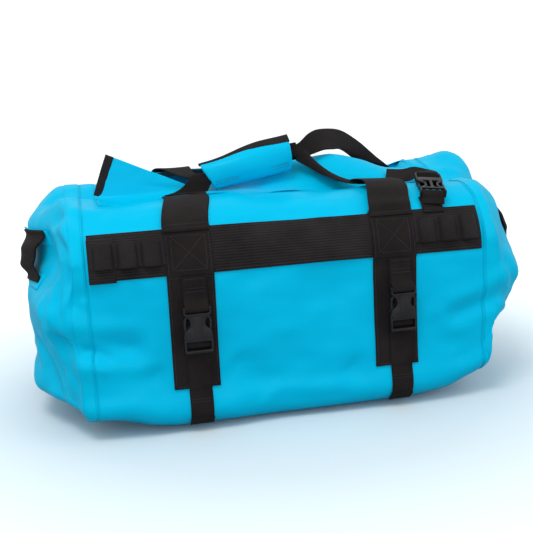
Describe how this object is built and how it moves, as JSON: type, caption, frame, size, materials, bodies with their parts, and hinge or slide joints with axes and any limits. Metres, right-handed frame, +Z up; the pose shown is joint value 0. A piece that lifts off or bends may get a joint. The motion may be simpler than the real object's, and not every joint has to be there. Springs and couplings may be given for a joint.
{
  "type": "roll-top dry duffel bag",
  "caption": "Roll-top waterproof duffel with webbing strips, daisy loops, side-release buckles, a wrapped carry grip and end handles.",
  "frame": {"origin": "centre of the flat bottom that the bag rests on, midway between the two buckle strips", "axes": "+Z up, +X along the bag to its closure clip end, -Y towards the side with the buckles"},
  "size_m": [0.5924, 0.3179, 0.3154],
  "materials": {
    "tarpaulin": "smooth coated tarpaulin, satin",
    "webbing": "ribbed woven webbing, matt",
    "binding": "thin woven binding tape",
    "hook_and_loop": "fuzzy hook and loop tape",
    "buckle_plastic": "moulded, fine satin"
  },
  "bodies": {
    "root": {"body_panel": "tarpaulin", "left_end_panel": "tarpaulin", "right_end_panel": "tarpaulin", "left_seam_tape": "tarpaulin", "right_seam_tape": "tarpaulin", "collar_front_lip": "tarpaulin", "collar_rear_lip": "tarpaulin", "collar_left_gusset": "tarpaulin", "collar_right_gusset": "tarpaulin", "hook_tape": "hook_and_loop", "loop_tape": "hook_and_loop", "front_band": "webbing", "rear_band": "webbing", "front_left_strip": "webbing", "front_right_strip": "webbing", "rear_left_strip": "webbing", "rear_right_strip": "webbing", "front_left_loops": "webbing", "front_right_loops": "webbing", "left_buckle_tab": "webbing", "right_buckle_tab": "webbing", "left_buckle_female": "buckle_plastic", "right_buckle_female": "buckle_plastic", "left_lower_strap": "webbing", "right_lower_strap": "webbing", "left_strap_anchor": "webbing", "right_strap_anchor": "webbing", "closure_tab": "webbing", "closure_buckle_female": "buckle_plastic", "closure_strap": "webbing", "front_left_leg": "webbing", "rear_left_leg": "webbing", "front_right_leg": "webbing", "rear_right_leg": "webbing", "left_end_handle": "webbing", "right_end_handle": "webbing", "left_handle_patches": "tarpaulin", "right_handle_patches": "tarpaulin"},
    "collar_wing": {"collar_wing": "tarpaulin", "wing_binding": "binding"},
    "left_male": {"left_buckle_male": "buckle_plastic"},
    "right_male": {"right_buckle_male": "buckle_plastic"},
    "closure_male": {"closure_buckle_male": "buckle_plastic"},
    "grip": {"grip_wrap": "tarpaulin", "grip_webbing": "webbing"},
    "grip_flap": {"grip_flap": "tarpaulin", "grip_binding": "binding"}
  },
  "joints": [
    {"name": "left_buckle_release", "type": "slide", "parent": "root", "child": "left_male", "axis": [0, 0, -1], "range_m": [0, 0.03]},
    {"name": "right_buckle_release", "type": "slide", "parent": "root", "child": "right_male", "axis": [0, 0, -1], "range_m": [0, 0.03]},
    {"name": "closure_buckle_release", "type": "slide", "parent": "root", "child": "closure_male", "axis": [0.2419, 0.8721, 0.4253], "range_m": [0, 0.03], "deforming": ["closure_strap"]},
    {"name": "grip_lift", "type": "slide", "parent": "root", "child": "grip", "axis": [0, 0, 1], "range_m": [0, 0.05], "deforming": ["front_left_leg", "rear_left_leg", "front_right_leg", "rear_right_leg"]},
    {"name": "grip_flap_open", "type": "hinge", "parent": "grip", "child": "grip_flap", "pos_m": [-0.08095, -0.05054, 0.26059], "axis": [0.9797, 0, 0.2004], "range_deg": [0, 90]},
    {"name": "collar_wing_fold", "type": "hinge", "parent": "root", "child": "collar_wing", "pos_m": [-0.16, -0.047, 0.2517], "axis": [1, 0, 0], "range_deg": [-30, 35]}
  ]
}
